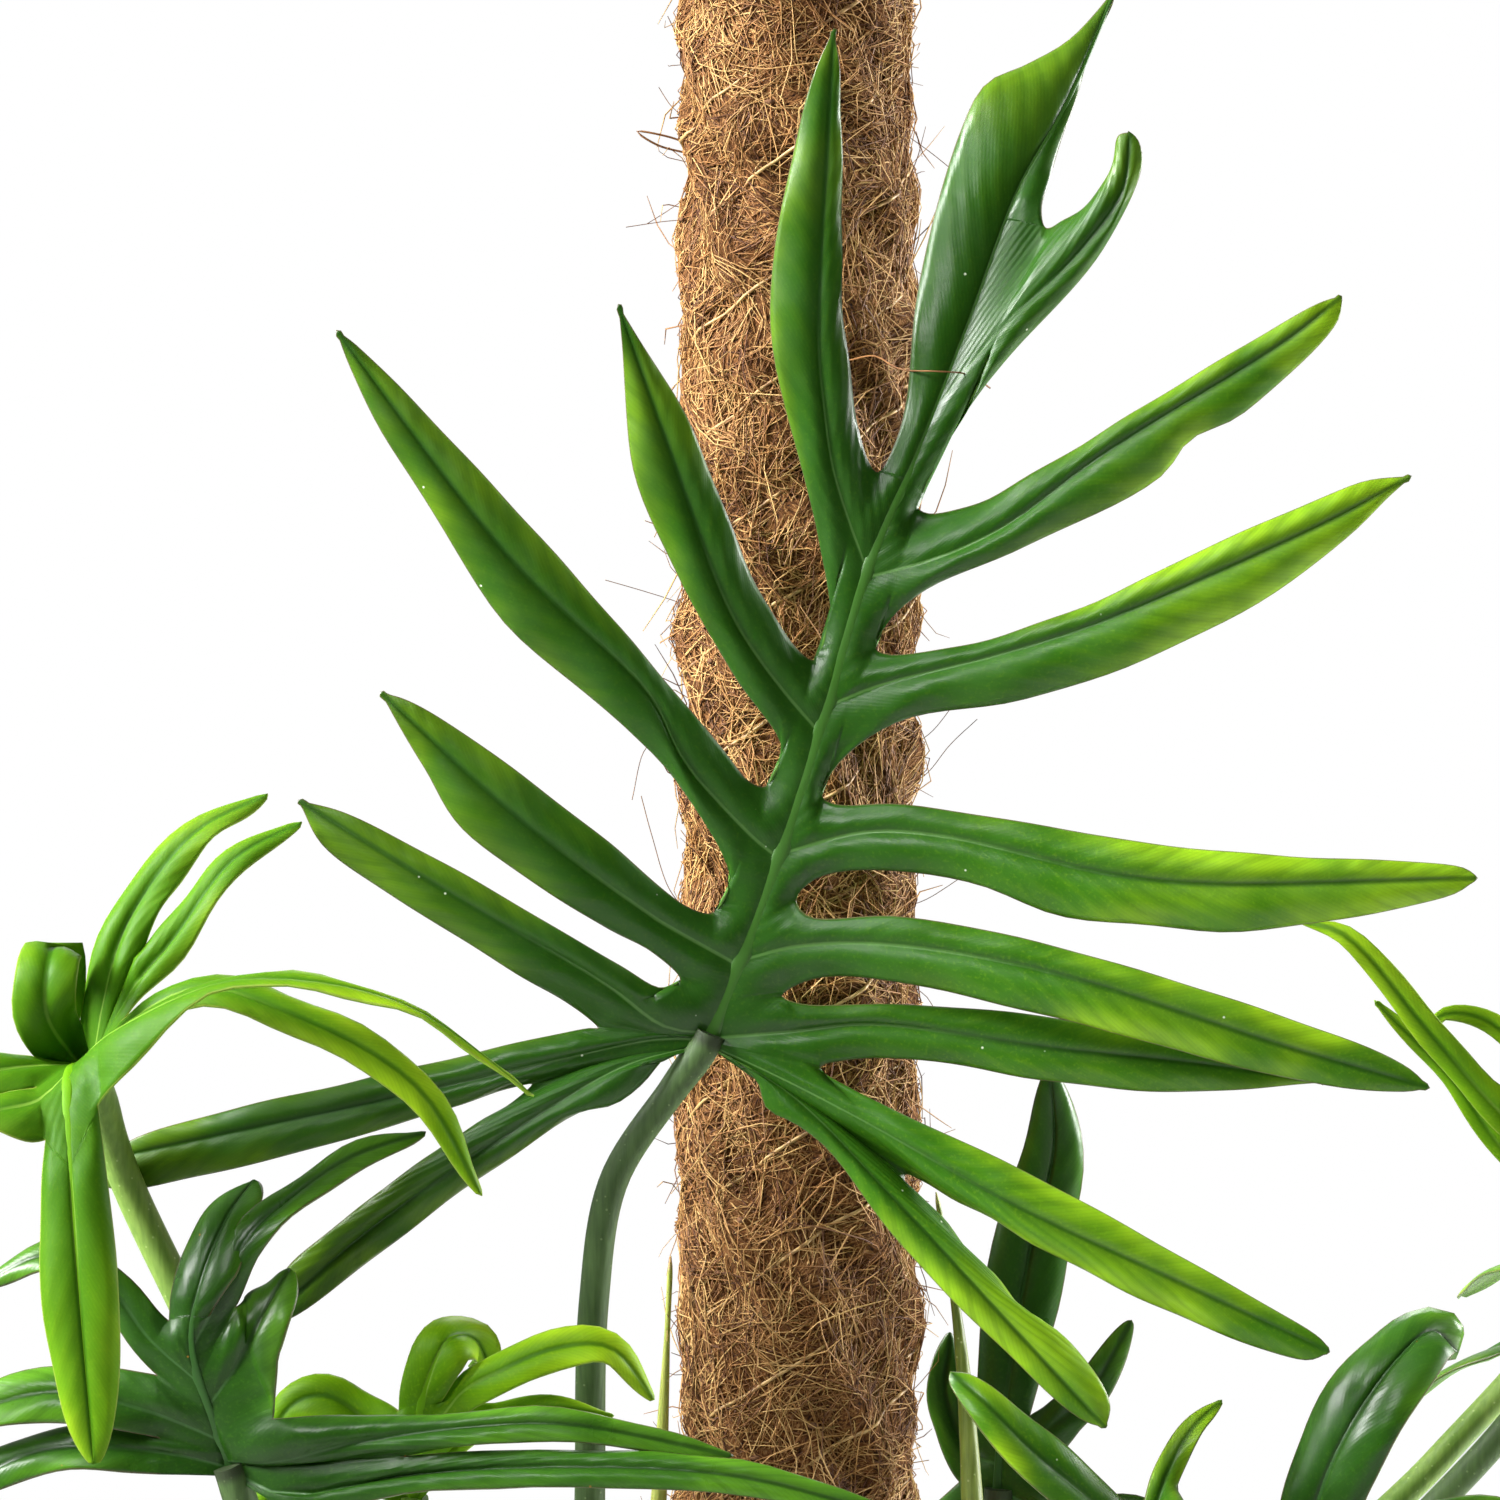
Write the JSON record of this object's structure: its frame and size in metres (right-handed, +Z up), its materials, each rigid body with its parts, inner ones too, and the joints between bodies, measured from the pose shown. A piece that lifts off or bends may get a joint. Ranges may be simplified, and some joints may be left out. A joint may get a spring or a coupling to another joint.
{
  "type": "potted climbing philodendron on a coir pole",
  "caption": "Potted climbing aroid with deeply lobed feather-like leaves on long stalks, trained up a tall coir-covered pole in a plain round pot.",
  "frame": {"origin": "centre of the pot's flat underside, on the surface that the pot stands on", "axes": "+Z up along the pole, -Y the front, the side that the big leaf faces, +X to the right seen from the front"},
  "size_m": [0.6467, 0.6163, 0.985],
  "materials": {
    "pot_plastic": "matt charcoal nursery pot, slightly grained",
    "potting_soil": "dark brown crumbly potting mix of peat and bark, fully rough",
    "pipe_plastic": "plain grey plastic pipe",
    "coir": "loose felt of golden brown coconut fibre, fully rough",
    "thread": "straw-coloured binding thread, slightly glossy",
    "stem_skin": "satin mid-green stem with paler leaf scars",
    "sheath_skin": "satin yellow-green rolled sheath with fine lengthwise lines",
    "leaf_green": "waxy satin leaf skin, deep green, lighter to the lobe tips",
    "leaf_dark": "waxy glossy leaf skin, very dark green",
    "leaf_young": "waxy satin young leaf skin, bright yellow-green, lets light through",
    "stalk_skin": "matt grey-green leaf stalk",
    "young_stalk_skin": "satin light green leaf stalk"
  },
  "bodies": {
    "root": {"pot": "pot_plastic", "soil": "potting_soil", "pole_pipe": "pipe_plastic", "pole_coir": "coir", "binding_thread": "thread", "stem_left": "stem_skin", "stem_right": "stem_skin", "stem_back": "stem_skin", "new_leaf_left": "sheath_skin", "new_leaf_right": "sheath_skin", "blade_big": "leaf_green", "stalk_big": "stalk_skin", "blade_young_left": "leaf_young", "stalk_young_left": "young_stalk_skin", "blade_dark_left": "leaf_dark", "stalk_dark_left": "stalk_skin", "blade_light_middle": "leaf_young", "stalk_light_middle": "young_stalk_skin", "blade_dark_behind": "leaf_dark", "stalk_dark_behind": "stalk_skin", "blade_front_right": "leaf_green", "stalk_front_right": "stalk_skin", "blade_dark_right": "leaf_dark", "stalk_dark_right": "stalk_skin", "blade_young_right": "leaf_young", "stalk_young_right": "young_stalk_skin", "blade_right_back": "leaf_green", "stalk_right_back": "stalk_skin", "blade_back": "leaf_green", "stalk_back": "stalk_skin", "blade_low_front": "leaf_green", "stalk_low_front": "stalk_skin", "blade_low_right": "leaf_green", "stalk_low_right": "stalk_skin", "blade_left_back": "leaf_green", "stalk_left_back": "stalk_skin"}
  },
  "joints": []
}
